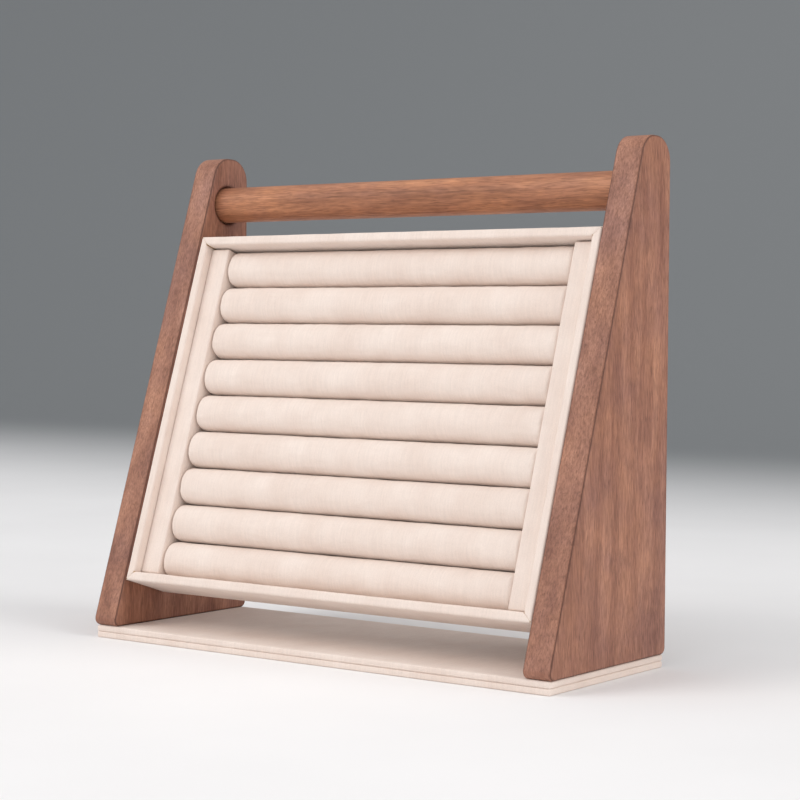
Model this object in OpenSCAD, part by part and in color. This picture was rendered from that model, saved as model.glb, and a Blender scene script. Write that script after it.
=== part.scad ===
// Ring display stand. Two sloping wooden side panels stand on a cloth-covered base and are
// tied together near the top by a round carrying handle. A shallow tray, wrapped in cloth,
// is screwed between them along the slope, and padded rolls fill it from side to side, so
// that a ring's band slips into the groove between two rolls.
// X runs from left to right, Y from front to back and Z up, in millimetres. The origin is
// the centre of the base's underside.

/* [Stand] */
// Width over the two side panels
stand_w = 280; // [200:1:400]
// Angle of the panels' front edges from upright, in degrees
front_slope = 18; // [8:0.5:30]

/* [Side panels] */
// Thickness of a side panel
panel_t = 15; // [12:0.5:24]
// Depth of a side panel across its top, before its corners are rounded
panel_top_w = 24; // [22:1:60]
// Radius of the rounded top corners
panel_top_r = 12; // [2:0.5:12]
// Radius of the foot corners
panel_foot_r = 3.5; // [1:0.5:8]

/* [Handle] */
// Diameter of the carrying dowel
dowel_d = 19; // [12:0.5:24]
// Distance of the dowel's centre below the top of the panels
dowel_drop = 25.5; // [16:0.5:40]
// How far each end of the dowel goes into its panel
dowel_socket = 8; // [4:0.5:9]
// Clear height between the dowel and the front edge of the tray's top
grip_gap = 8.2; // [5:0.1:60]

/* [Base] */
// Thickness of each of the base's two boards
base_board_t = 2.4; // [2.4:0.1:6]
// How far the base stays in from the outside of the panels, all round
base_inset = 1; // [0:0.1:5]
// Width of the cloth that is turned over a base board's hidden side
base_lap = 14; // [12:1:30]

/* [Cloth] */
// Thickness of the microfibre cloth
cloth_t = 0.4; // [0.3:0.05:1]

/* [Tray] */
// Distance along the slope from the panels' foot to the tray's lower edge
tray_foot = 25.6; // [20:0.1:60]
// How far the tray's front stays back from the panels' front edges
tray_setback = 0.5; // [0.5:0.1:8]
// Depth of the tray from its front edge to its back
tray_d = 30; // [28:0.5:40]
// Thickness of the boards that make the tray's walls
wall_board_t = 4; // [3:0.1:8]
// Thickness of the tray's back board
back_board_t = 4.5; // [2:0.1:6]
// Gap between the tray and each side panel
tray_side_gap = 0.2; // [0.2:0.1:2]

/* [Spacer strips] */
// Width of the strips at the two ends of the rolls
spacer_w = 12; // [6:0.5:25]
// How far the strips' fronts stay back from the tray's front edge
spacer_recess = 5; // [2:0.5:12]
// Gap between each end of a strip and the tray's wall
spacer_end_gap = 0.8; // [0.2:0.1:3]

/* [Ring rolls] */
// Number of padded rolls
roll_count = 9; // [3:1:12]
// Diameter of a covered roll
roll_d = 19.8; // [14:0.1:24]
// Radius of the rounding at each end of a roll
roll_end_r = 2; // [1:0.5:7]
// Clearance between a roll and whatever lies beside or behind it
roll_gap = 0.1; // [0.05:0.05:1]

/* [Screws] */
// Diameter of the screws' shanks
screw_d = 3; // [2.5:0.1:4]
// Diameter of the screws' countersunk heads
screw_head_d = 6; // [5:0.1:8]
// Height of the countersunk heads
screw_head_h = 1.8; // [1.2:0.1:2.4]
// Length of the screws that hold the base to the panels
base_screw_len = 22; // [12:1:30]
// Distance of the base screws from the front and back of the panels' foot
base_screw_in = 22; // [12:1:35]
// Length of the screws that hold the tray to the panels
tray_screw_len = 14; // [10:0.5:16]
// Distance of the tray screws from the tray's lower and upper edges
tray_screw_in = 45; // [15:1:60]

/* [Fits] */
// Radial clearance of the dowel in its sockets
dowel_fit = 0.1; // [0.05:0.05:0.5]
// Radial clearance of the screws in their holes
screw_fit = 0.05; // [0.05:0.05:0.3]
// Smoothness of the round shapes
$fn = 96; // [32:8:160]

/* [Hidden] */
gap_w = stand_w - 2 * panel_t;
layer_h = base_board_t + 2 * cloth_t;
base_h = 2 * layer_h;
wall_t = wall_board_t + 2 * cloth_t;
floor_y = tray_d - back_board_t - cloth_t;
tray_w = gap_w - 2 * tray_side_gap;
tray_in_w = tray_w - 2 * wall_t;
roll_pitch = roll_d + roll_gap;
tray_in_len = roll_count * roll_pitch + roll_gap;
tray_len = tray_in_len + 2 * wall_t;
roll_len = tray_in_w - 2 * (spacer_w + roll_gap);
tray_top_z = base_h + (tray_foot + tray_len) * cos(front_slope) - tray_setback * sin(front_slope);
dowel_z = tray_top_z + grip_gap + dowel_d / 2;
stand_h = dowel_z + dowel_drop;
panel_h = stand_h - base_h;
// How far the rounding of the foot sets the panel's front back from its sharp corner
toe_round = panel_foot_r / tan((90 - front_slope) / 2) - panel_foot_r;
stand_d = panel_top_w + panel_h * tan(front_slope) - toe_round;
// Where the line of the slope meets the base
toe_y = -stand_d / 2 - toe_round;
dowel_y = (stand_d - panel_top_w - dowel_drop * tan(front_slope)) / 2;
base_w = stand_w - 2 * base_inset;
base_d = stand_d - 2 * base_inset;

TRAY_SIDES = ["bottom", "right", "top", "left"];
ENDS = ["left", "right"];

// Unit vector from point p towards point q
function towards(p, q) = (q - p) / norm(q - p);

// Half of the angle at corner p between its neighbours a and b
function half_angle(a, p, b) = acos(towards(p, a) * towards(p, b)) / 2;

// Distance from corner p to where an arc of radius r meets its sides
function tangent_length(a, p, b, r) = r / tan(half_angle(a, p, b));

// Centre of the arc of radius r that rounds corner p
function arc_centre(a, p, b, r) =
    p + (towards(p, a) + towards(p, b)) / (2 * cos(half_angle(a, p, b))) * r / sin(half_angle(a, p, b));

// A filled convex outline whose corners are rounded, each by its own radius
module rounded_outline(corners, radii) {
    n = len(corners);
    polygon([
        for (i = [0:n - 1])
            let (a = corners[(i + n - 1) % n], p = corners[i], b = corners[(i + 1) % n])
            let (t = tangent_length(a, p, b, radii[i]))
            each [p + towards(p, a) * t, p + towards(p, b) * t]
    ]);
    for (i = [0:n - 1])
        translate(arc_centre(corners[(i + n - 1) % n], corners[i], corners[(i + 1) % n], radii[i]))
            circle(r = radii[i]);
}

// Places its children in the slope's frame: Y runs back from the plane of the panels' front
// edges, and Z up along it from their foot
module on_slope()
    translate([0, toe_y, base_h])
        rotate([-front_slope, 0, 0])
            children();

// Places its children in the tray's frame: Y runs back from its front edge and Z up from its
// lower edge
module in_tray()
    on_slope()
        translate([0, tray_setback, tray_foot])
            children();

// A countersunk screw along +Z, with the top of its head at the origin. Clearance widens it
// into the hole that takes it
module screw(length, clearance = 0) {
    cylinder(h = screw_head_h, r1 = screw_head_d / 2 + clearance, r2 = screw_d / 2 + clearance);
    cylinder(h = length + clearance, r = screw_d / 2 + clearance);
}

// Places its children at the base screws of one panel, or of both
module at_base_screws(ends = [-1, 1])
    for (end = ends, way = [-1, 1])
        translate([end * (stand_w - panel_t) / 2, way * (stand_d / 2 - base_screw_in), layer_h])
            children();

// Places its children at the tray screws of one side, or of both, pointing outwards
module at_tray_screws(ends = [-1, 1])
    in_tray()
        for (end = ends, z = [tray_screw_in, tray_len - tray_screw_in])
            translate([end * tray_in_w / 2, tray_d / 2, z])
                rotate([0, end * 90, 0])
                    children();

// A side panel, on the left (end = -1) or on the right (end = 1)
module side_panel(end) {
    back = stand_d / 2;
    corners = [[toe_y, base_h], [back, base_h], [back, stand_h], [back - panel_top_w, stand_h]];
    radii = [panel_foot_r, panel_foot_r, panel_top_r, panel_top_r];
    color("#8a6048")
        difference() {
            translate([end * (stand_w - panel_t) / 2 - panel_t / 2, 0, 0])
                rotate([90, 0, 90])
                    linear_extrude(panel_t)
                        rounded_outline(corners, radii);
            translate([0, dowel_y, dowel_z])
                rotate([0, 90, 0])
                    cylinder(h = gap_w + 2 * dowel_socket, r = dowel_d / 2 + dowel_fit, center = true);
            at_base_screws([end])
                screw(base_screw_len, screw_fit);
            at_tray_screws([end])
                screw(tray_screw_len, screw_fit);
        }
}

module left_side_panel()
    side_panel(-1);

module right_side_panel()
    side_panel(1);

// The carrying handle, whose ends go into blind sockets in the panels
module handle_dowel()
    color("#b47a55")
        translate([0, dowel_y, dowel_z])
            rotate([0, 90, 0])
                cylinder(h = gap_w + 2 * (dowel_socket - dowel_fit), r = dowel_d / 2, center = true);

// A base board in its layer of the base, before any holes
module base_sheet(layer, inset, thickness)
    translate([0, 0, (layer + 0.5) * layer_h])
        cube([base_w - 2 * inset, base_d - 2 * inset, thickness], center = true);

// The cloth round a base board. It covers one face and the edges, and is turned over the
// face that meets the other layer
module base_cloth(layer)
    color("#e6d9cc")
        difference() {
            base_sheet(layer, 0, layer_h);
            base_sheet(layer, cloth_t, base_board_t);
            translate([0, 0, layer_h])
                cube([base_w - 2 * base_lap, base_d - 2 * base_lap, 2 * cloth_t], center = true);
            at_base_screws()
                screw(base_screw_len, screw_fit);
        }

module base_upper_board()
    color("#c9a67a")
        difference() {
            base_sheet(1, cloth_t, base_board_t);
            at_base_screws()
                screw(base_screw_len, screw_fit);
        }

module base_upper_cloth()
    base_cloth(1);

module base_lower_board()
    color("#c9a67a")
        base_sheet(0, cloth_t, base_board_t);

module base_lower_cloth()
    base_cloth(0);

module base_screws()
    color("silver")
        at_base_screws()
            screw(base_screw_len);

// The corners of the tray's outline, moved in by a distance
function tray_corners(inset) = [
    [-tray_w / 2 + inset, inset],
    [tray_w / 2 - inset, inset],
    [tray_w / 2 - inset, tray_len - inset],
    [-tray_w / 2 + inset, tray_len - inset]
];

// An outline in the tray's own plane, made solid from one depth to another
module tray_prism(front, back)
    in_tray()
        translate([0, back, 0])
            rotate([90, 0, 0])
                linear_extrude(back - front)
                    children();

// One mitred side of the tray's frame, between two insets and two depths
module frame_side(side, outer, inner, front, back)
    tray_prism(front, back)
        polygon([
            tray_corners(outer)[side],
            tray_corners(outer)[(side + 1) % 4],
            tray_corners(inner)[(side + 1) % 4],
            tray_corners(inner)[side]
        ]);

// The board inside one wall of the tray
module wall_core(side)
    frame_side(side, cloth_t, wall_t - cloth_t, cloth_t, tray_d - cloth_t);

module tray_wall(side)
    color("#c9a67a")
        difference() {
            wall_core(side);
            at_tray_screws()
                screw(tray_screw_len, screw_fit);
        }

// The cloth over one wall: down its inside to the back board, round its front edge and down
// its outside
module tray_wall_cloth(side)
    color("#ecdfd2")
        difference() {
            union() {
                frame_side(side, 0, wall_t, 0, floor_y);
                frame_side(side, 0, cloth_t, floor_y, tray_d - cloth_t);
            }
            wall_core(side);
            at_tray_screws()
                screw(tray_screw_len, screw_fit);
        }

module tray_back_board()
    color("#c9a67a")
        tray_prism(floor_y, tray_d - cloth_t)
            polygon(tray_corners(wall_t - cloth_t));

module tray_back_cloth()
    color("#e6d9cc")
        tray_prism(tray_d - cloth_t, tray_d)
            polygon(tray_corners(0));

module tray_screws()
    color("silver")
        at_tray_screws()
            screw(tray_screw_len);

// A block at one end of the rolls, moved in from the strip's covered size by a distance.
// The cloth leaves the side that is glued to the back board open
module spacer_block(end, inset) {
    width = spacer_w - 2 * inset;
    height = tray_in_len - 2 * spacer_end_gap - 2 * inset;
    depth = floor_y - spacer_recess - inset;
    in_tray()
        translate([end * (tray_in_w - spacer_w) / 2, floor_y - depth / 2, tray_len / 2])
            cube([width, depth, height], center = true);
}

module spacer_strip(end)
    color("#d8cfc4")
        spacer_block(end, cloth_t);

module spacer_cloth(end)
    color("#ecdfd2")
        difference() {
            spacer_block(end, 0);
            spacer_block(end, cloth_t);
        }

// The form of a padded roll, moved in from its covered size by a distance
module roll_form(index, inset) {
    radius = roll_d / 2 - inset;
    length = roll_len - 2 * inset;
    end_r = roll_end_r - inset;
    centre_z = tray_len - wall_t - roll_gap - roll_d / 2 - (index - 1) * roll_pitch;
    in_tray()
        translate([-length / 2, floor_y - roll_gap - roll_d / 2, centre_z])
            rotate([0, 90, 0])
                rotate_extrude()
                    intersection() {
                        square([radius, length]);
                        union() {
                            square([radius - end_r, length]);
                            translate([0, end_r])
                                square([radius, length - 2 * end_r]);
                            for (along = [end_r, length - end_r])
                                translate([radius - end_r, along])
                                    circle(r = end_r);
                        }
                    }
}

// The foam inside a roll. Rolls are counted from the top
module ring_roll_foam(index)
    color("#f2efe8")
        roll_form(index, cloth_t);

module ring_roll_sleeve(index)
    color("#efe2d6")
        difference() {
            roll_form(index, 0);
            roll_form(index, cloth_t);
        }

left_side_panel();
right_side_panel();
handle_dowel();
base_upper_board();
base_upper_cloth();
base_lower_board();
base_lower_cloth();
base_screws();
tray_back_board();
tray_back_cloth();
tray_screws();
for (side = [0:3]) {
    tray_wall(side);
    tray_wall_cloth(side);
}
for (end = [0, 1]) {
    spacer_strip(2 * end - 1);
    spacer_cloth(2 * end - 1);
}
for (i = [1:roll_count]) {
    ring_roll_foam(i);
    ring_roll_sleeve(i);
}
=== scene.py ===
import math

import bmesh
import bpy
from mathutils import Matrix, Vector


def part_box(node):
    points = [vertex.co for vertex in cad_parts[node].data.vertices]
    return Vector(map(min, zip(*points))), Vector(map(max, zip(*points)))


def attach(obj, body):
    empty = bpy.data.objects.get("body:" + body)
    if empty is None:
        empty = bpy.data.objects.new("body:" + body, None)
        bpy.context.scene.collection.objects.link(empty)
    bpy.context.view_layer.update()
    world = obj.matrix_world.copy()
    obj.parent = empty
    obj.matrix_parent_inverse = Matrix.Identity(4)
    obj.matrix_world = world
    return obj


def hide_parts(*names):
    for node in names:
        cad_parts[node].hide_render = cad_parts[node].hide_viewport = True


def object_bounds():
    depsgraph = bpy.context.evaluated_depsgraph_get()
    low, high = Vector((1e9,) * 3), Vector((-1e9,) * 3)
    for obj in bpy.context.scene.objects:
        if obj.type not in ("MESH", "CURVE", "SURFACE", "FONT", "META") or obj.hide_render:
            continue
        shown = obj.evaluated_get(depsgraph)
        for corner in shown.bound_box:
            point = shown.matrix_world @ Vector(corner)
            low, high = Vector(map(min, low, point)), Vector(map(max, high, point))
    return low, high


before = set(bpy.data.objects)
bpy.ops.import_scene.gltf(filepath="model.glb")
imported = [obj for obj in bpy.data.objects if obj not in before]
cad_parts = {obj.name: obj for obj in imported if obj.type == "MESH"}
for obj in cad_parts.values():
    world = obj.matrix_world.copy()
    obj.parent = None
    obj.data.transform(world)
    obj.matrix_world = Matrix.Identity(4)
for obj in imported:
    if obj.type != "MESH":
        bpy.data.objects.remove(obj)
cad_lo, cad_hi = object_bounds()
scene = bpy.context.scene
scene.view_settings.view_transform = "Standard"


# ---- Camera ------------------------------------------------------------------------------
# A long lens at table height, a third of a turn round to the stand's right, so that the
# tray's face and the outside of the right panel both show.

VIEW_AZIMUTH = math.radians(36.47)
VIEW_PITCH = math.radians(2.03)
VIEW_ROLL = math.radians(0.39)
VIEW_DISTANCE = 1.012
VIEW_LENS = 92.55
SENSOR_WIDTH = 36
VIEW_AIM = (cad_lo + cad_hi) / 2 + Vector((0.0193, -0.0008, -0.0003))

bpy.ops.object.camera_add()
camera = bpy.context.object
camera.data.sensor_width = SENSOR_WIDTH
camera.data.lens = VIEW_LENS
turned = (
    Matrix.Rotation(VIEW_AZIMUTH, 4, "Z")
    @ Matrix.Rotation(math.pi / 2 - VIEW_PITCH, 4, "X")
    @ Matrix.Rotation(VIEW_ROLL, 4, "Z")
)
camera_place = VIEW_AIM + turned.to_3x3() @ Vector((0, 0, VIEW_DISTANCE))
camera.matrix_world = Matrix.Translation(camera_place) @ turned
scene.camera = camera


# ---- Floor and studio light --------------------------------------------------------------
# A plain pale table top that sweeps up into a grey backdrop, in a pale room. Two large soft
# lights stand at the front left and on the right, with weaker ones overhead and in front.

SWEEP_BACK = 3.2
SWEEP_FRONT = 4
SWEEP_SIDE = 5
SWEEP_HEIGHT = 4
SWEEP_RADIUS = 1.6
SWEEP_SEGMENTS = 24
FADE_START = 0.45
FADE_END = 1.7
ROOM_COLOUR = (0.92, 0.94, 0.97, 1)
ROOM_STRENGTH = 0.7
WHITE = (1.0, 0.99, 0.98)
WARM_WHITE = (1.0, 0.98, 0.96)
CLOSE = 1e-6


def add_node(finish, kind, inputs, **settings):
    """Adds a shader node. Each input takes a plain value or another node's output."""
    node = finish.node_tree.nodes.new("ShaderNode" + kind)
    for name, value in settings.items():
        setattr(node, name, value)
    for name, value in inputs.items():
        if isinstance(value, bpy.types.NodeSocket):
            finish.node_tree.links.new(value, node.inputs[name])
        else:
            node.inputs[name].default_value = value
    return node


def new_finish(name, **surface):
    """A material whose Principled shader has these constants, with its object coordinates."""
    finish = bpy.data.materials.new(name)
    finish.use_nodes = True
    shader = finish.node_tree.nodes["Principled BSDF"]
    for socket, value in surface.items():
        shader.inputs[socket.replace("_", " ")].default_value = value
    place = add_node(finish, "TexCoord", {}).outputs["Object"]
    return finish, shader, place


def plug_in(finish, shader, **surface):
    """Joins other nodes' outputs to the Principled shader."""
    for socket, value in surface.items():
        finish.node_tree.links.new(value, shader.inputs[socket.replace("_", " ")])


def noise(finish, place, scale, detail, roughness=0.5, distortion=0):
    """A noise pattern in grey."""
    inputs = {"Vector": place, "Scale": scale, "Detail": detail}
    inputs |= {"Roughness": roughness, "Distortion": distortion}
    return add_node(finish, "TexNoise", inputs).outputs["Fac"]


def add_ramp(finish, factor, stops):
    """A colour ramp through (position, grey or colour) stops."""
    node = add_node(finish, "ValToRGB", {"Fac": factor})
    ramp = node.color_ramp
    while len(ramp.elements) < len(stops):
        ramp.elements.new(0.5)
    for element, (position, tone) in zip(ramp.elements, stops):
        element.position = position
        element.color = (tone, tone, tone, 1) if isinstance(tone, (int, float)) else (*tone, 1)
    return node.outputs["Color"]


def blend(finish, kind, share, under, over):
    """Blends two colours, each a plain one or another node's output."""
    under, over = ((*tone, 1) if isinstance(tone, tuple) else tone for tone in (under, over))
    return add_node(
        finish, "MixRGB", {"Fac": share, "Color1": under, "Color2": over}, blend_type=kind
    ).outputs["Color"]


def soft_light(name, place, size, power, tint):
    """A large square light that faces the stand."""
    bpy.ops.object.light_add(type="AREA", location=place)
    lamp = bpy.context.object
    lamp.name = name
    lamp.data.shape = "SQUARE"
    lamp.data.size = size
    lamp.data.energy = power
    lamp.data.color = tint
    lamp.rotation_euler = (VIEW_AIM - Vector(place)).to_track_quat("-Z", "Y").to_euler()


def choose(piece):
    """Selects one piece alone."""
    bpy.ops.object.select_all(action="DESELECT")
    piece.select_set(True)
    bpy.context.view_layer.objects.active = piece


def open_piece(piece):
    """Opens one piece in edit mode, alone, with nothing in it selected."""
    choose(piece)
    bpy.ops.object.mode_set(mode="EDIT")
    bpy.ops.mesh.select_all(action="DESELECT")


def close_piece():
    bpy.ops.object.mode_set(mode="OBJECT")


def pick(kind, test):
    """Selects the "VERT", "EDGE" or "FACE" elements of the open piece that pass a test."""
    bpy.ops.mesh.select_mode(type=kind)
    bpy.ops.mesh.select_all(action="DESELECT")
    mesh = bmesh.from_edit_mesh(bpy.context.edit_object.data)
    elements = {"VERT": mesh.verts, "EDGE": mesh.edges, "FACE": mesh.faces}[kind]
    for element in elements:
        if test(element):
            element.select_set(True)
    bmesh.update_edit_mesh(bpy.context.edit_object.data)


def at_back(edge):
    """Whether an edge lies along the back of the table top."""
    return all(point.co.y > SWEEP_BACK - CLOSE for point in edge.verts)


bpy.ops.mesh.primitive_plane_add(size=1)
floor = bpy.context.object
floor.name = "table_top"
floor.scale = (2 * SWEEP_SIDE, SWEEP_BACK + SWEEP_FRONT, 1)
floor.location = (0, (SWEEP_BACK - SWEEP_FRONT) / 2, 0)
bpy.ops.object.transform_apply(location=True, rotation=True, scale=True)
open_piece(floor)
pick("EDGE", at_back)
bpy.ops.mesh.extrude_region_move(TRANSFORM_OT_translate={"value": (0, 0, SWEEP_HEIGHT)})
pick("EDGE", lambda edge: at_back(edge) and all(point.co.z < CLOSE for point in edge.verts))
bpy.ops.mesh.bevel(offset=SWEEP_RADIUS, segments=SWEEP_SEGMENTS, affect="EDGES")
close_piece()
bpy.ops.object.shade_smooth()
floor_finish, floor_shader, floor_place = new_finish("pale_table_top", Roughness=0.9)
floor_mottle = noise(floor_finish, floor_place, 6, 3)
floor_pale = add_ramp(
    floor_finish, floor_mottle, [(0.3, (0.88, 0.865, 0.86)), (0.7, (0.91, 0.895, 0.89))]
)
floor_depth = add_node(floor_finish, "SeparateXYZ", {"Vector": floor_place}).outputs["Y"]
floor_fade = add_node(
    floor_finish,
    "MapRange",
    {"Value": floor_depth, "From Min": FADE_START, "From Max": FADE_END},
    interpolation_type="SMOOTHSTEP",
).outputs["Result"]
floor_tone = blend(floor_finish, "MIX", floor_fade, floor_pale, (0.26, 0.27, 0.275))
plug_in(floor_finish, floor_shader, Base_Color=floor_tone)
floor.data.materials.append(floor_finish)

scene.world = bpy.data.worlds.new("pale_room")
scene.world.use_nodes = True
room_light = scene.world.node_tree.nodes["Background"]
room_light.inputs["Color"].default_value = ROOM_COLOUR
room_light.inputs["Strength"].default_value = ROOM_STRENGTH
soft_light("front_light", (0.0, -2.3, 1.2), 1.8, 2, WARM_WHITE)
soft_light("overhead_light", (-0.1, -0.9, 2.2), 1.8, 7, WHITE)
soft_light("right_light", (2.2, 0.2, 1.3), 1.6, 23, WARM_WHITE)
soft_light("front_left_light", (-1.4, -1.8, 1.7), 1.6, 24, WARM_WHITE)


# ---- Side panels -------------------------------------------------------------------------
# Two solid boards sawn from walnut-stained rubberwood, with upright grain, a sloping front
# edge and a rounded top. Their arrises are sanded round and painted darker, partly as more
# stain and partly as painted shade, widest at the mouth of the dowel's socket.

ARRIS_RADIUS = 0.0012
ARRIS_SEGMENTS = 4
SOCKET_MOUTH = 0.0022
SOCKET_CLEARANCE = 0.001
SMALLEST_FLAT = 0.001
FLAT = 0.99
SMALLEST_ARRIS = math.radians(60)
MERGE_ANGLE = math.radians(0.5)
WOOD_SMOOTHING = 40


def copy_shape(node, name):
    """A new piece with a CAD node's shape, its loose triangles merged into whole faces."""
    piece = bpy.data.objects.new(name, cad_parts[node].data.copy())
    scene.collection.objects.link(piece)
    piece.data.materials.clear()
    open_piece(piece)
    bpy.ops.mesh.customdata_custom_splitnormals_clear()
    bpy.ops.mesh.select_all(action="SELECT")
    bpy.ops.mesh.remove_doubles(threshold=CLOSE)
    bpy.ops.mesh.dissolve_limited(angle_limit=MERGE_ANGLE)
    close_piece()
    return piece


def is_arris(edge):
    """Whether an edge lies between a panel's wide flat side and its outline or a hole."""
    flat = any(
        abs(face.normal.x) > FLAT and face.calc_area() > SMALLEST_FLAT for face in edge.link_faces
    )
    return flat and len(edge.link_faces) == 2 and edge.calc_face_angle() > SMALLEST_ARRIS


def at_socket(edge):
    """Whether an edge lies on the rim of the dowel's socket."""
    lo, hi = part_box("handle_dowel")
    axis = ((lo + hi) / 2).yz
    radius = (hi.z - lo.z) / 2
    return all(
        abs(math.dist(point.co.yz, axis) - radius) < SOCKET_CLEARANCE for point in edge.verts
    )


def round_over(offset, test):
    """Rounds the edges of the open panel that pass a test, evenly on both sides."""
    pick("EDGE", test)
    bpy.ops.mesh.bevel(offset=offset, segments=ARRIS_SEGMENTS, affect="EDGES", loop_slide=False)


def mark_arrises(piece):
    """Stores how far each point has turned off the flats, for the darker edges: partly stain,
    partly painted shade.
    """
    share = piece.data.attributes.new("edge_stain_and_shade", "FLOAT", "POINT")
    for point, normal in zip(share.data, piece.data.vertex_normals):
        point.value = 1 - abs(2 * normal.vector.x ** 2 - 1)


def smooth_piece(piece, angle):
    """Shades a piece smooth, but for its edges sharper than an angle in degrees."""
    choose(piece)
    bpy.ops.object.shade_smooth_by_angle(angle=math.radians(angle))


def finish_modifier(piece, kind, name, **settings):
    """Adds a modifier and applies it at once."""
    bpy.context.view_layer.objects.active = piece
    made = piece.modifiers.new(name, kind)
    for key, value in settings.items():
        setattr(made, key, value)
    bpy.ops.object.modifier_apply(modifier=name)


def relief(finish, height, strength, depth, under=None):
    """A bump of a given depth, over another one if there is one under it."""
    inputs = {"Height": height, "Strength": strength, "Distance": depth}
    if under:
        inputs["Normal"] = under
    return add_node(finish, "Bump", inputs).outputs["Normal"]


def stained_wood(name, stretch, sway, pale, middle, dark, edge_stain_and_shade=None):
    """Stained wood whose grain runs along the axis that stretch makes small."""
    finish, shader, place = new_finish(name, Roughness=0.5, Specular_IOR_Level=0.3)
    drift = add_node(
        finish, "TexNoise", {"Vector": place, "Scale": 14, "Detail": 1}
    ).outputs["Color"]
    waved = add_node(
        finish, "VectorMath", {0: drift, 1: (sway, sway, sway), 2: place}, operation="MULTIPLY_ADD"
    ).outputs["Vector"]
    long_grain = add_node(finish, "Mapping", {"Vector": waved, "Scale": stretch}).outputs["Vector"]
    bands = noise(finish, long_grain, 90, 5, 0.6)
    banded = add_ramp(finish, bands, [(0.32, dark), (0.5, middle), (0.68, pale)])
    fibres = noise(finish, long_grain, 1250, 2, 0.65)
    dashes = add_ramp(finish, fibres, [(0.34, 0.72), (0.64, 1.22)])
    dashed = blend(finish, "MULTIPLY", 0.8, banded, dashes)
    pores = noise(finish, long_grain, 2300, 1, 0.4)
    open_pores = add_ramp(finish, pores, [(0.60, 0.0), (0.72, 0.5)])
    pored = blend(finish, "MIX", open_pores, dashed, tuple(part * 0.5 for part in dark))
    blotches = noise(finish, place, 32, 4, 0.6)
    stain = add_ramp(finish, blotches, [(0.34, (0.80, 0.77, 0.84)), (0.66, (1.18, 1.14, 1.02))])
    stained = blend(finish, "MULTIPLY", 0.8, pored, stain)
    # Arrises are mixed towards a dark colour: partly more stain, partly painted shade.
    if edge_stain_and_shade:
        edges = add_node(finish, "Attribute", {}, attribute_name="edge_stain_and_shade").outputs["Fac"]
        share = add_node(finish, "Math", {0: edges, 1: 0.95}, operation="MULTIPLY").outputs["Value"]
        stained = blend(finish, "MIX", share, stained, edge_stain_and_shade)
    gloss = add_ramp(finish, fibres, [(0.3, 0.6), (0.7, 0.44)])
    grain = add_node(
        finish, "Math", {0: fibres, 1: open_pores}, operation="SUBTRACT"
    ).outputs["Value"]
    bump = relief(finish, grain, 0.3, 0.0002)
    plug_in(finish, shader, Base_Color=stained, Roughness=gloss, Normal=bump)
    return finish


panel_wood = stained_wood(
    "walnut_stained_board",
    stretch=(1, 1, 0.1),
    sway=0.01,
    pale=(0.42, 0.208, 0.143),
    middle=(0.335, 0.157, 0.105),
    dark=(0.245, 0.107, 0.071),
    # The dark arris colour: partly stain, partly painted shade along the arrises and in the
    # socket's mouth.
    edge_stain_and_shade=(0.085, 0.033, 0.022),
)
for side in ("left", "right"):
    panel = copy_shape(f"{side}_side_panel", f"{side}_panel_board")
    open_piece(panel)
    # The socket's mouth gets a wider rounding, so the dark arris colour paints shade in the gap
    # round the dowel.
    round_over(SOCKET_MOUTH, lambda edge: is_arris(edge) and at_socket(edge))
    round_over(ARRIS_RADIUS, lambda edge: is_arris(edge) and not at_socket(edge))
    close_piece()
    mark_arrises(panel)
    smooth_piece(panel, WOOD_SMOOTHING)
    finish_modifier(panel, "WEIGHTED_NORMAL", "flat_sides", keep_sharp=True)
    panel.data.materials.append(panel_wood)
    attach(panel, "root")
    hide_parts(f"{side}_side_panel")


# ---- Carrying handle ---------------------------------------------------------------------
# A turned dowel of the same wood, stained lighter, sanded by hand so that it isn't quite
# even, and glued into a blind socket in each panel.

DOWEL_SIDES = 64
DOWEL_RINGS = 60
DOWEL_CHAMFER = 0.001
CHAMFER_SEGMENTS = 3
SANDING = 0.00012
SANDING_LENGTH = 0.03

dowel_lo, dowel_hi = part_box("handle_dowel")
dowel_size = dowel_hi - dowel_lo


def unevenness(name, size):
    """A soft procedural pattern for a Displace modifier, with lumps of about that size."""
    pattern = bpy.data.textures.new(name, "CLOUDS")
    pattern.noise_scale = size
    pattern.noise_depth = 1
    return pattern


def place_piece(piece):
    """Puts a piece's place, turn and scale into its mesh."""
    choose(piece)
    bpy.ops.object.transform_apply(location=True, rotation=True, scale=True)


bpy.ops.object.select_all(action="DESELECT")
bpy.ops.mesh.primitive_cylinder_add(
    vertices=DOWEL_SIDES,
    radius=dowel_size.z / 2 - SANDING / 2,
    depth=dowel_size.x,
    location=(dowel_lo + dowel_hi) / 2,
    rotation=(0, math.pi / 2, 0),
)
dowel = bpy.context.object
dowel.name = "carrying_dowel"
place_piece(dowel)
open_piece(dowel)
pick("EDGE", lambda edge: abs(edge.verts[0].co.x - edge.verts[1].co.x) < CLOSE)
bpy.ops.mesh.bevel(offset=DOWEL_CHAMFER, segments=CHAMFER_SEGMENTS, affect="EDGES")
pick("EDGE", lambda edge: abs(edge.verts[0].co.x - edge.verts[1].co.x) > dowel_size.x / 2)
bpy.ops.mesh.subdivide(number_cuts=DOWEL_RINGS)
close_piece()
finish_modifier(
    dowel,
    "DISPLACE",
    "hand_sanding",
    texture=unevenness("hand_sanding", SANDING_LENGTH),
    strength=SANDING,
)
smooth_piece(dowel, WOOD_SMOOTHING)
dowel.data.materials.append(
    stained_wood(
        "walnut_stained_dowel",
        stretch=(0.07, 1, 1),
        sway=0.004,
        pale=(0.53, 0.245, 0.132),
        middle=(0.41, 0.177, 0.094),
        dark=(0.24, 0.098, 0.052),
    )
)
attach(dowel, "root")
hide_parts("handle_dowel")


# ---- Boards of the tray and the base -----------------------------------------------------
# Thin bare fibreboard: the tray's four walls and its back, the two spacer strips and the two
# base boards. Cloth covers all of them, and they keep their sawn shapes.


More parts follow.
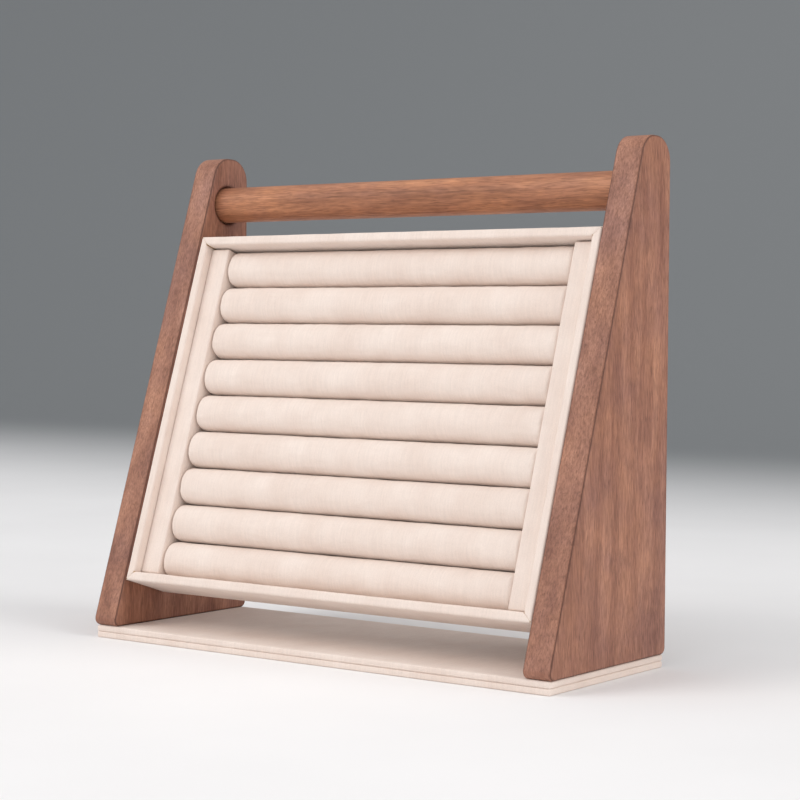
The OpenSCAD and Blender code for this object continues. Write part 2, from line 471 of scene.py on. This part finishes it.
def fibreboard():
    """Pressed wood fibres, with short dark flecks and a fuzzy sawn surface."""
    finish, shader, place = new_finish("bare_fibreboard", Roughness=0.85, Specular_IOR_Level=0.25)
    fibres = noise(finish, place, 900, 5, 0.7, 1.2)
    colour = add_ramp(
        finish,
        fibres,
        [(0.3, (0.33, 0.21, 0.12)), (0.5, (0.52, 0.37, 0.23)), (0.7, (0.63, 0.47, 0.31))],
    )
    plug_in(finish, shader, Base_Color=colour, Normal=relief(finish, fibres, 0.4, 0.0002))
    return finish


def give_finish(node, finish):
    """Gives a CAD node that stays another material."""
    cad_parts[node].data.materials.clear()
    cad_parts[node].data.materials.append(finish)


TRAY_SIDES = ("bottom", "right", "top", "left")
board_finish = fibreboard()
tray_boards = [f"tray_{side}_wall" for side in TRAY_SIDES] + ["tray_back_board"]
strip_boards = ["left_spacer_strip", "right_spacer_strip"]
for node in tray_boards + strip_boards + ["base_upper_board", "base_lower_board"]:
    give_finish(node, board_finish)


# ---- Screws ------------------------------------------------------------------------------
# Zinc-plated countersunk screws: four up through the upper base board into the panels' feet,
# and four out through the tray's side walls into the panels.


def zinc_plate():
    """Passivated zinc, slightly yellow and cloudy."""
    finish, shader, place = new_finish("zinc_plated_steel", Metallic=1.0)
    cloud = noise(finish, place, 400, 3)
    colour = add_ramp(finish, cloud, [(0.3, (0.52, 0.52, 0.50)), (0.7, (0.70, 0.69, 0.64))])
    gloss = add_ramp(finish, cloud, [(0.3, 0.28), (0.7, 0.42)])
    plug_in(finish, shader, Base_Color=colour, Roughness=gloss)
    return finish


screw_finish = zinc_plate()
for node in ("base_screws", "tray_screws"):
    give_finish(node, screw_finish)


# ---- Cloth over the tray's walls ---------------------------------------------------------
# Cream microfibre with a short suede nap, 0.4 mm thick. A strip of it is glued down the
# inside of each wall, round its front edge and down its outside, and is mitred at the ends.

FOLD_RADIUS = 0.0012
FOLD_SEGMENTS = 5
LOOSENESS = 0.00025
LUMP_SIZE = 0.018
LUMP_MIDDLE = 0.55
CLOTH_SMOOTHING = 50
WALL_STEP = 0.004
WALL_CUTS = 6
MITRE_BANDS = (0.0005, 0.0012)
MITRE_TUCK = 0.0004

cloth_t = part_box("base_lower_board")[0].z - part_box("base_lower_cloth")[0].z


def microfibre():
    """Short-napped microfibre: fine fibres, brushed patches and a soft sheen."""
    finish, shader, place = new_finish(
        "cream_microfibre_cloth",
        Roughness=0.92,
        Specular_IOR_Level=0.15,
        Sheen_Weight=0.35,
        Sheen_Roughness=0.45,
        Sheen_Tint=(1.0, 0.95, 0.9, 1),
    )
    brushed = noise(finish, place, 55, 3)
    patches = add_ramp(finish, brushed, [(0.3, (0.81, 0.672, 0.592)), (0.7, (0.865, 0.742, 0.665))])
    fibres = noise(finish, place, 2600, 2, 0.7)
    flecks = add_ramp(finish, fibres, [(0.25, 0.84), (0.75, 1.12)])
    napped = blend(finish, "MULTIPLY", 0.5, patches, flecks)
    ribbed = add_node(
        finish, "Mapping", {"Vector": place, "Scale": (1, 0.08, 0.08)}
    ).outputs["Vector"]
    threads = noise(finish, ribbed, 1100, 2)
    ribs = add_ramp(finish, threads, [(0.3, 0.9), (0.7, 1.06)])
    woven = blend(finish, "MULTIPLY", 0.35, napped, ribs)
    nap = relief(finish, fibres, 0.5, 0.0002)
    weave = relief(finish, threads, 0.25, 0.0002, under=nap)
    plug_in(finish, shader, Base_Color=woven, Normal=weave)
    return finish


def middle(node):
    """The middle of a CAD node's box."""
    lo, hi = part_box(node)
    return (lo + hi) / 2


roll_count = sum(name.endswith("_sleeve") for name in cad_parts)
up_slope = middle("ring_roll_1_sleeve") - middle(f"ring_roll_{roll_count}_sleeve")
slope = math.atan2(up_slope.y, up_slope.z)


def leaning_block(node):
    """The middle of a block that leans back with the tray, and its own width, depth and height."""
    lo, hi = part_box(node)
    size = hi - lo
    depth = (size.y * math.cos(slope) - size.z * math.sin(slope)) / math.cos(2 * slope)
    height = (size.z * math.cos(slope) - size.y * math.sin(slope)) / math.cos(2 * slope)
    return (lo + hi) / 2, Vector((size.x, depth, height))


def lean(piece, at, turn=0):
    """Turns an upright piece in the tray's plane, leans it back and puts its middle at a point."""
    piece.matrix_world = (
        Matrix.Translation(at) @ Matrix.Rotation(-slope, 4, "X") @ Matrix.Rotation(turn, 4, "Y")
    )
    place_piece(piece)


def add_block(name, size):
    """A block about the origin, to be shaped into a cover."""
    bpy.ops.object.select_all(action="DESELECT")
    bpy.ops.mesh.primitive_cube_add(size=1, scale=size)
    piece = bpy.context.object
    piece.name = name
    place_piece(piece)
    return piece


def in_slope(offset):
    """An offset in the tray's own directions, leaned back with it."""
    return Matrix.Rotation(-slope, 3, "X") @ Vector(offset)


def runs_along(edge, axis):
    """Whether an edge runs along one axis."""
    way = edge.verts[1].co - edge.verts[0].co
    return abs(way[axis]) > 0.999 * way.length


def cut_across(point, normal, clear):
    """Cuts the open piece by a plane, and may take away what lies past it."""
    bpy.ops.mesh.select_all(action="SELECT")
    bpy.ops.mesh.bisect(plane_co=point, plane_no=normal, clear_outer=clear)


def make_cloth(piece, finish, looseness):
    """Turns an open shell into cloth of the right thickness that lies slightly unevenly."""
    finish_modifier(
        piece,
        "DISPLACE",
        "loose_lie",
        texture=unevenness("loose_lie", LUMP_SIZE),
        strength=looseness,
        mid_level=LUMP_MIDDLE,
    )
    finish_modifier(piece, "SOLIDIFY", "cloth_thickness", thickness=cloth_t, offset=-1)
    smooth_piece(piece, CLOTH_SMOOTHING)
    piece.data.materials.append(finish)
    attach(piece, "root")


cloth_finish = microfibre()
back_thickness = leaning_block("tray_back_board")[1].y


def wrapped_wall(side, turn):
    """The cloth over one wall, modelled as the bottom wall's and turned to its side."""
    at, board = leaning_block(f"tray_{side}_wall")
    along, thick = max(board.x, board.z), min(board.x, board.z)
    size = Vector((along + 2 * cloth_t, board.y + cloth_t, thick + 2 * cloth_t))
    piece = add_block(f"tray_{side}_wall_cover", size)
    open_piece(piece)
    pick("VERT", lambda point: point.co.y > 0 and point.co.z > 0)
    bpy.ops.transform.translate(value=(0, -back_thickness, 0))
    pick("FACE", lambda face: face.normal.y > 0.5 or abs(face.normal.x) > 0.5)
    bpy.ops.mesh.delete(type="FACE")
    pick("EDGE", lambda edge: runs_along(edge, 0))
    bpy.ops.mesh.subdivide(number_cuts=round(size.x / WALL_STEP))
    pick("EDGE", lambda edge: runs_along(edge, 1))
    bpy.ops.mesh.subdivide(number_cuts=WALL_CUTS)
    front = -size.y / 2
    pick("EDGE", lambda edge: runs_along(edge, 0) and edge.verts[0].co.y < front + CLOSE)
    bpy.ops.mesh.bevel(offset=FOLD_RADIUS, segments=FOLD_SEGMENTS, affect="EDGES")
    for end in (-1, 1):
        mitre = Vector((end, 0, 1)).normalized()
        corner = Vector((end * size.x / 2, 0, -size.z / 2))
        cut_across(corner, mitre, clear=True)
        for inward in MITRE_BANDS:
            cut_across(corner - mitre * inward, mitre, clear=False)
        pick("VERT", lambda point: abs((point.co - corner) @ mitre) < 10 * CLOSE)
        bpy.ops.transform.shrink_fatten(value=-MITRE_TUCK)
    close_piece()
    lean(piece, at + in_slope((0, -cloth_t / 2, 0)), turn)
    make_cloth(piece, cloth_finish, LOOSENESS)
    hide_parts(f"tray_{side}_wall_cloth")


for number, side in enumerate(TRAY_SIDES):
    wrapped_wall(side, -number * math.pi / 2)


# ---- Cloth over the tray's back ----------------------------------------------------------
# One flat piece of the same microfibre, glued over the back board and the turned-in edges
# of the walls' cloth.

BACK_CUTS = 60
BACK_LOOSENESS = 0.0001

at, size = leaning_block("tray_back_cloth")
back_cover = add_block("tray_back_cover", size)
open_piece(back_cover)
pick("FACE", lambda face: face.normal.y < 0.5)
bpy.ops.mesh.delete(type="FACE")
bpy.ops.mesh.select_all(action="SELECT")
bpy.ops.mesh.subdivide(number_cuts=BACK_CUTS)
pick("EDGE", lambda edge: edge.is_boundary)
bpy.ops.transform.translate(value=(0, -cloth_t / 4, 0))
close_piece()
lean(back_cover, at)
make_cloth(back_cover, cloth_finish, BACK_LOOSENESS)
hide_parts("tray_back_cloth")


# ---- Spacer strips' cloth ----------------------------------------------------------------
# The strips that close the two ends of the rolls are wrapped like the walls: cloth over the
# front, the long sides and the ends, and open where the strip is glued to the back board.

STRIP_CUTS = 45
STRIP_CROSS_CUTS = 3
STRIP_FOLD = 0.0009
SMALLEST_FOLD = 1.0


def is_fold(edge):
    """Whether a cover turns sharply along an edge."""
    return not edge.is_boundary and edge.calc_face_angle() > SMALLEST_FOLD


for side in ("left", "right"):
    at, board = leaning_block(f"{side}_spacer_strip")
    size = board + Vector((2 * cloth_t, cloth_t, 2 * cloth_t))
    strip_cover = add_block(f"{side}_spacer_cover", size)
    open_piece(strip_cover)
    pick("FACE", lambda face: face.normal.y > 0.5)
    bpy.ops.mesh.delete(type="FACE")
    pick("EDGE", lambda edge: runs_along(edge, 2))
    bpy.ops.mesh.subdivide(number_cuts=STRIP_CUTS)
    pick("EDGE", lambda edge: runs_along(edge, 0))
    bpy.ops.mesh.subdivide(number_cuts=STRIP_CROSS_CUTS)
    pick("EDGE", is_fold)
    bpy.ops.mesh.bevel(offset=STRIP_FOLD, segments=FOLD_SEGMENTS, affect="EDGES")
    close_piece()
    lean(strip_cover, at + in_slope((0, -cloth_t / 2, 0)))
    make_cloth(strip_cover, cloth_finish, LOOSENESS)
    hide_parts(f"{side}_spacer_cloth")


# ---- Ring rolls --------------------------------------------------------------------------
# Nine foam rods, each in a sewn microfibre sleeve with tucked, rounded ends. They are pushed
# in side by side, so that they touch and a ring's band can be slipped in between two.

ROLL_END_RADIUS = 0.003
ROLL_END_SEGMENTS = 6
SQUARENESS = 2.35
ROLL_SIDES = 40
ROLL_RINGS = 58
SLACK = 0.0003
MOST_MOVE = 0.0006
SIM_FRAMES = 20
SIM_QUALITY = 6
SIM_PRESSURE = 4
CORE_INSET = 1.2 * cloth_t
CORE_SMOOTHING = 60


def roll_blank(name, length, radius, end_radius):
    """A tube along X with rounded ends, a little squared by its neighbours' pressure."""
    bpy.ops.object.select_all(action="DESELECT")
    bpy.ops.mesh.primitive_cylinder_add(
        vertices=ROLL_SIDES, radius=radius, depth=length, rotation=(0, math.pi / 2, 0)
    )
    piece = bpy.context.object
    piece.name = name
    place_piece(piece)
    open_piece(piece)
    pick("EDGE", lambda edge: abs(edge.verts[0].co.x - edge.verts[1].co.x) < CLOSE)
    bpy.ops.mesh.bevel(offset=end_radius, segments=ROLL_END_SEGMENTS, affect="EDGES")
    pick("FACE", lambda face: abs(face.normal.x) > FLAT)
    bpy.ops.mesh.inset(thickness=(radius - end_radius) / 2)
    bpy.ops.mesh.poke()
    pick("EDGE", lambda edge: runs_along(edge, 0) and edge.calc_length() > length / 2)
    bpy.ops.mesh.subdivide(number_cuts=ROLL_RINGS)
    close_piece()
    for point in piece.data.vertices:
        across = math.hypot(point.co.y, point.co.z)
        if across > CLOSE:
            powers = abs(point.co.y) ** SQUARENESS + abs(point.co.z) ** SQUARENESS
            point.co.yz *= across / powers ** (1 / SQUARENESS)
    return piece


def inflate(piece, seed):
    """Lets the sleeve swell under the foam's pressure, held at the tucks in its two ends."""
    start = [point.co.copy() for point in piece.data.vertices]
    reach = max(point.x for point in start)
    tucks = piece.vertex_groups.new(name="tucks")
    ends = [i for i, point in enumerate(start) if abs(point.x) > reach - 10 * CLOSE]
    tucks.add(ends, 1, "REPLACE")
    open_piece(piece)
    bpy.ops.mesh.select_all(action="SELECT")
    bpy.ops.transform.vertex_random(offset=SLACK, seed=seed)
    close_piece()
    cloth = piece.modifiers.new("sleeve", "CLOTH")
    cloth.settings.quality = SIM_QUALITY
    cloth.settings.vertex_group_mass = "tucks"
    cloth.settings.use_pressure = True
    cloth.settings.uniform_pressure_force = SIM_PRESSURE
    cloth.settings.effector_weights.gravity = 0
    cloth.point_cache.frame_end = SIM_FRAMES
    for number in range(1, SIM_FRAMES + 1):
        scene.frame_set(number)
    bpy.context.view_layer.objects.active = piece
    bpy.ops.object.modifier_apply(modifier="sleeve")
    scene.frame_set(1)
    for point, before in zip(piece.data.vertices, start):
        move = point.co - before
        if move.length > MOST_MOVE:
            point.co = before + move.normalized() * MOST_MOVE


def open_cell_foam():
    """Pale foam with small open cells."""
    finish, shader, place = new_finish("open_cell_foam", Roughness=0.95, Specular_IOR_Level=0.1)
    cells = add_node(finish, "TexVoronoi", {"Vector": place, "Scale": 1600}).outputs["Distance"]
    colour = add_ramp(finish, cells, [(0.0, (0.62, 0.59, 0.50)), (0.5, (0.84, 0.82, 0.74))])
    plug_in(finish, shader, Base_Color=colour, Normal=relief(finish, cells, 0.6, 0.0004))
    return finish


foam_finish = open_cell_foam()
for number in range(1, roll_count + 1):
    lo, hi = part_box(f"ring_roll_{number}_sleeve")
    radius = (hi.z - lo.z) / 2
    sleeve = roll_blank(f"ring_roll_{number}_cover", hi.x - lo.x, radius - SLACK, ROLL_END_RADIUS)
    inflate(sleeve, number)
    lean(sleeve, (lo + hi) / 2)
    core = sleeve.copy()
    core.data = sleeve.data.copy()
    core.name = f"ring_roll_{number}_core"
    scene.collection.objects.link(core)
    open_piece(core)
    bpy.ops.mesh.select_all(action="SELECT")
    bpy.ops.transform.shrink_fatten(value=-CORE_INSET)
    close_piece()
    smooth_piece(core, CORE_SMOOTHING)
    core.data.materials.append(foam_finish)
    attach(core, "root")
    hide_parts(f"ring_roll_{number}_foam")
    finish_modifier(sleeve, "SUBSURF", "smooth_nap", levels=1, render_levels=1)
    make_cloth(sleeve, cloth_finish, LOOSENESS)
    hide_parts(f"ring_roll_{number}_sleeve")


# ---- Cloth round the base boards ---------------------------------------------------------
# Two thin boards are wrapped alone, each with its cloth turned over the side that meets the
# other, and then glued together, so that a seam runs round the edge of the base.

BASE_FOLD = 0.0009
BASE_LAP = 0.014
BASE_CUTS = 20
BASE_LOOSENESS = 0.00008


def wrapped_base(layer, hidden):
    """The cloth round one base board. hidden is 1 if its turned-over side faces up, or -1."""
    lo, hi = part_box(f"base_{layer}_cloth")
    size = hi - lo
    piece = add_block(f"base_{layer}_cover", size)
    open_piece(piece)
    pick("FACE", lambda face: face.normal.z * hidden > 0.5)
    bpy.ops.mesh.inset(thickness=BASE_LAP)
    bpy.ops.mesh.delete(type="FACE")
    pick("FACE", lambda face: face.normal.z * hidden < -0.5)
    bpy.ops.mesh.subdivide(number_cuts=BASE_CUTS)
    pick("EDGE", is_fold)
    bpy.ops.mesh.bevel(offset=BASE_FOLD, segments=FOLD_SEGMENTS, affect="EDGES")
    close_piece()
    piece.location = (lo + hi) / 2
    place_piece(piece)
    make_cloth(piece, cloth_finish, BASE_LOOSENESS)
    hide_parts(f"base_{layer}_cloth")


wrapped_base("lower", 1)
wrapped_base("upper", -1)
